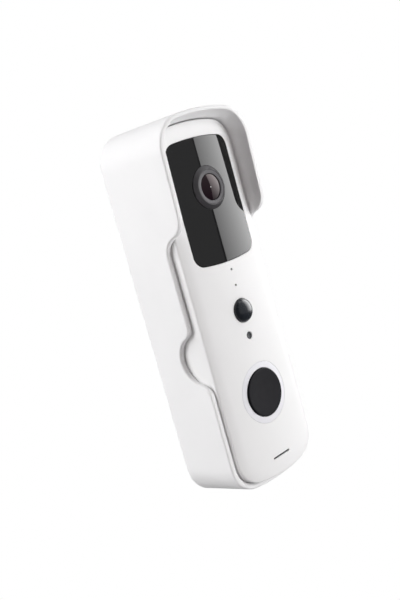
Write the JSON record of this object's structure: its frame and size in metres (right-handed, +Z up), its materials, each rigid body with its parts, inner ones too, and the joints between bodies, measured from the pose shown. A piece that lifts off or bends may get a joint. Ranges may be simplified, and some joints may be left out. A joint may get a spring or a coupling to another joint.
{
  "type": "video doorbell",
  "caption": "Slim battery video doorbell with a camera window, motion dome, call button and speaker slot, in a hooded weather cover on a wall bracket.",
  "frame": {"origin": "centre of the wall bracket's back face, on the wall", "axes": "+X to the viewer's right, +Z up, the face and the camera look along -Y, and +Y points into the wall"},
  "size_m": [0.0462, 0.0341, 0.1409],
  "materials": {
    "bracket_plastic": "fine moulded texture",
    "cover_plastic": "smooth satin moulding",
    "white_shell": "fine matte texture",
    "soft_rubber": "matte silicone",
    "white_rubber": "matte silicone",
    "screw_steel": "plated machine screw",
    "window_black": "polished infrared-clear acrylic",
    "bezel_grey": "satin moulding",
    "cone_grey": "fine turned grooves",
    "lens_glass": "coated optical glass",
    "barrel_black": "matte black",
    "dome_black": "glossy infrared-clear polymer",
    "button_black": "fine satin texture",
    "light_guide": "frosted light guide",
    "clear_plastic": "clear moulded epoxy",
    "sensor_can": "tinned sheet metal",
    "green_board": "solder-masked circuit board",
    "chip_black": "moulded epoxy",
    "battery_wrap": "printed wrap on an aluminium case"
  },
  "bodies": {
    "bracket": {"wall_bracket": "bracket_plastic"},
    "unit": {"front_housing": "white_shell", "rear_housing": "white_shell", "housing_gasket": "soft_rubber", "case_screw_1": "screw_steel", "case_screw_2": "screw_steel", "case_screw_3": "screw_steel", "case_screw_4": "screw_steel", "camera_window": "window_black", "lens_bezel": "bezel_grey", "lens_cone": "cone_grey", "lens_glass": "lens_glass", "lens_barrel": "barrel_black", "camera_holder": "chip_black", "sensor_board": "green_board", "infrared_board": "green_board", "infrared_led_1": "clear_plastic", "infrared_led_2": "clear_plastic", "infrared_led_3": "clear_plastic", "infrared_led_4": "clear_plastic", "pir_dome": "dome_black", "pir_sensor": "sensor_can", "light_sensor_window": "dome_black", "light_sensor": "clear_plastic", "microphone": "sensor_can", "microphone_gasket": "soft_rubber", "status_led": "clear_plastic", "status_light_pipe": "clear_plastic", "button_ring": "light_guide", "button_return_pad": "white_rubber", "switch_body": "chip_black", "speaker_frame": "chip_black", "speaker_cone": "barrel_black", "speaker_gasket": "soft_rubber", "main_board": "green_board", "radio_module": "sensor_can", "processor": "chip_black", "battery_pack": "battery_wrap", "charging_board": "green_board", "usb_socket": "sensor_can", "reset_switch": "chip_black"},
    "lock_screw": {"lock_screw": "screw_steel"},
    "cover": {"rain_cover": "cover_plastic"},
    "button": {"button_cap": "button_black", "switch_plunger": "chip_black"},
    "usb_plug": {"usb_plug": "white_rubber"},
    "reset_button": {"reset_button": "white_rubber"}
  },
  "joints": [
    {"name": "unit_lift", "type": "slide", "parent": "bracket", "child": "unit", "axis": [0, 0, 1], "range_m": [0, 0.006]},
    {"name": "lock_screw_turn", "type": "hinge", "parent": "bracket", "child": "lock_screw", "pos_m": [0, -0.006, -0.0635], "axis": [0, 0, 1], "continuous": true},
    {"name": "cover_slide", "type": "slide", "parent": "unit", "child": "cover", "axis": [0, -1, 0], "range_m": [0, 0.035]},
    {"name": "button_press", "type": "slide", "parent": "unit", "child": "button", "axis": [0, 1, 0], "range_m": [0, 0.0008], "stiffness_N_per_m": 1500, "springref_m": -0.0005},
    {"name": "usb_plug_pull", "type": "slide", "parent": "unit", "child": "usb_plug", "axis": [0, 1, 0], "range_m": [0, 0.006]},
    {"name": "reset_press", "type": "slide", "parent": "unit", "child": "reset_button", "axis": [0, -1, 0], "range_m": [0, 0.0005], "stiffness_N_per_m": 1000, "springref_m": -0.0003}
  ]
}
